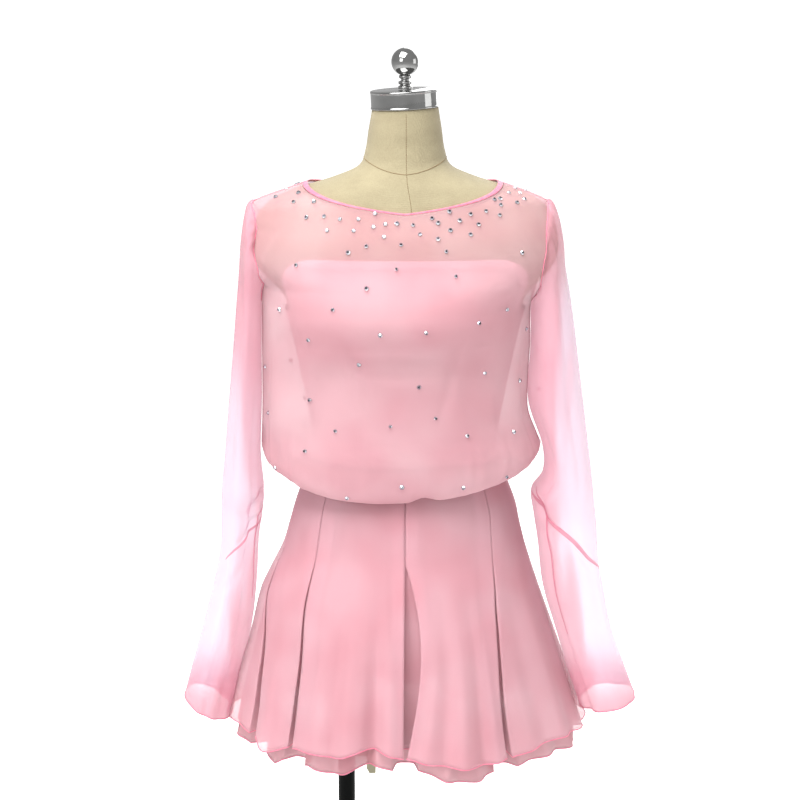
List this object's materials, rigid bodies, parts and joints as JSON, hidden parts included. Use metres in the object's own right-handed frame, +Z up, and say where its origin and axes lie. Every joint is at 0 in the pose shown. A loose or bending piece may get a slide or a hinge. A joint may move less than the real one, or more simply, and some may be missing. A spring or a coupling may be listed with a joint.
{
  "type": "long-sleeved figure skating dress on a limbless dress form with pole and foot plate",
  "caption": "Long-sleeved chiffon skating dress with sheer yoke, loose blouson bodice and layered inverted-pleat skirt, worn by a limbless dress form on a pole and round plate",
  "frame": {"origin": "middle of the foot plate's underside, on the floor under the form's neck", "axes": "+Z up, the front of the dress faces -Y, +X is the right side as seen from the front"},
  "size_m": [0.596, 0.4123, 1.4131],
  "materials": {
    "chiffon": "sheer woven pink chiffon, soft and matt",
    "sleeve_chiffon": "sheer pale pink chiffon of one layer",
    "lining": "smooth stretch lining under the overlay",
    "trim": "narrow folded edge binding, darker pink",
    "linen": "plain beige cover stretched over the form",
    "chrome": "polished bright metal",
    "beige_plastic": "matt beige plastic",
    "black_paint": "satin black powder coat"
  },
  "bodies": {
    "root": {"bodice_front": "chiffon", "bodice_back": "chiffon", "neck_binding": "trim", "under_bodice_front": "lining", "under_bodice_back": "lining", "sleeve_left_upper": "sleeve_chiffon", "sleeve_left_lower": "sleeve_chiffon", "sleeve_right_upper": "sleeve_chiffon", "sleeve_right_lower": "sleeve_chiffon", "skirt_outer_front": "chiffon", "skirt_outer_back": "chiffon", "skirt_under_front": "chiffon", "skirt_under_back": "chiffon", "form_torso": "linen", "neck_cap": "chrome", "finial_stem": "chrome", "finial_ball": "chrome", "pole_socket": "beige_plastic", "pole": "black_paint", "base_plate": "black_paint"}
  },
  "joints": []
}
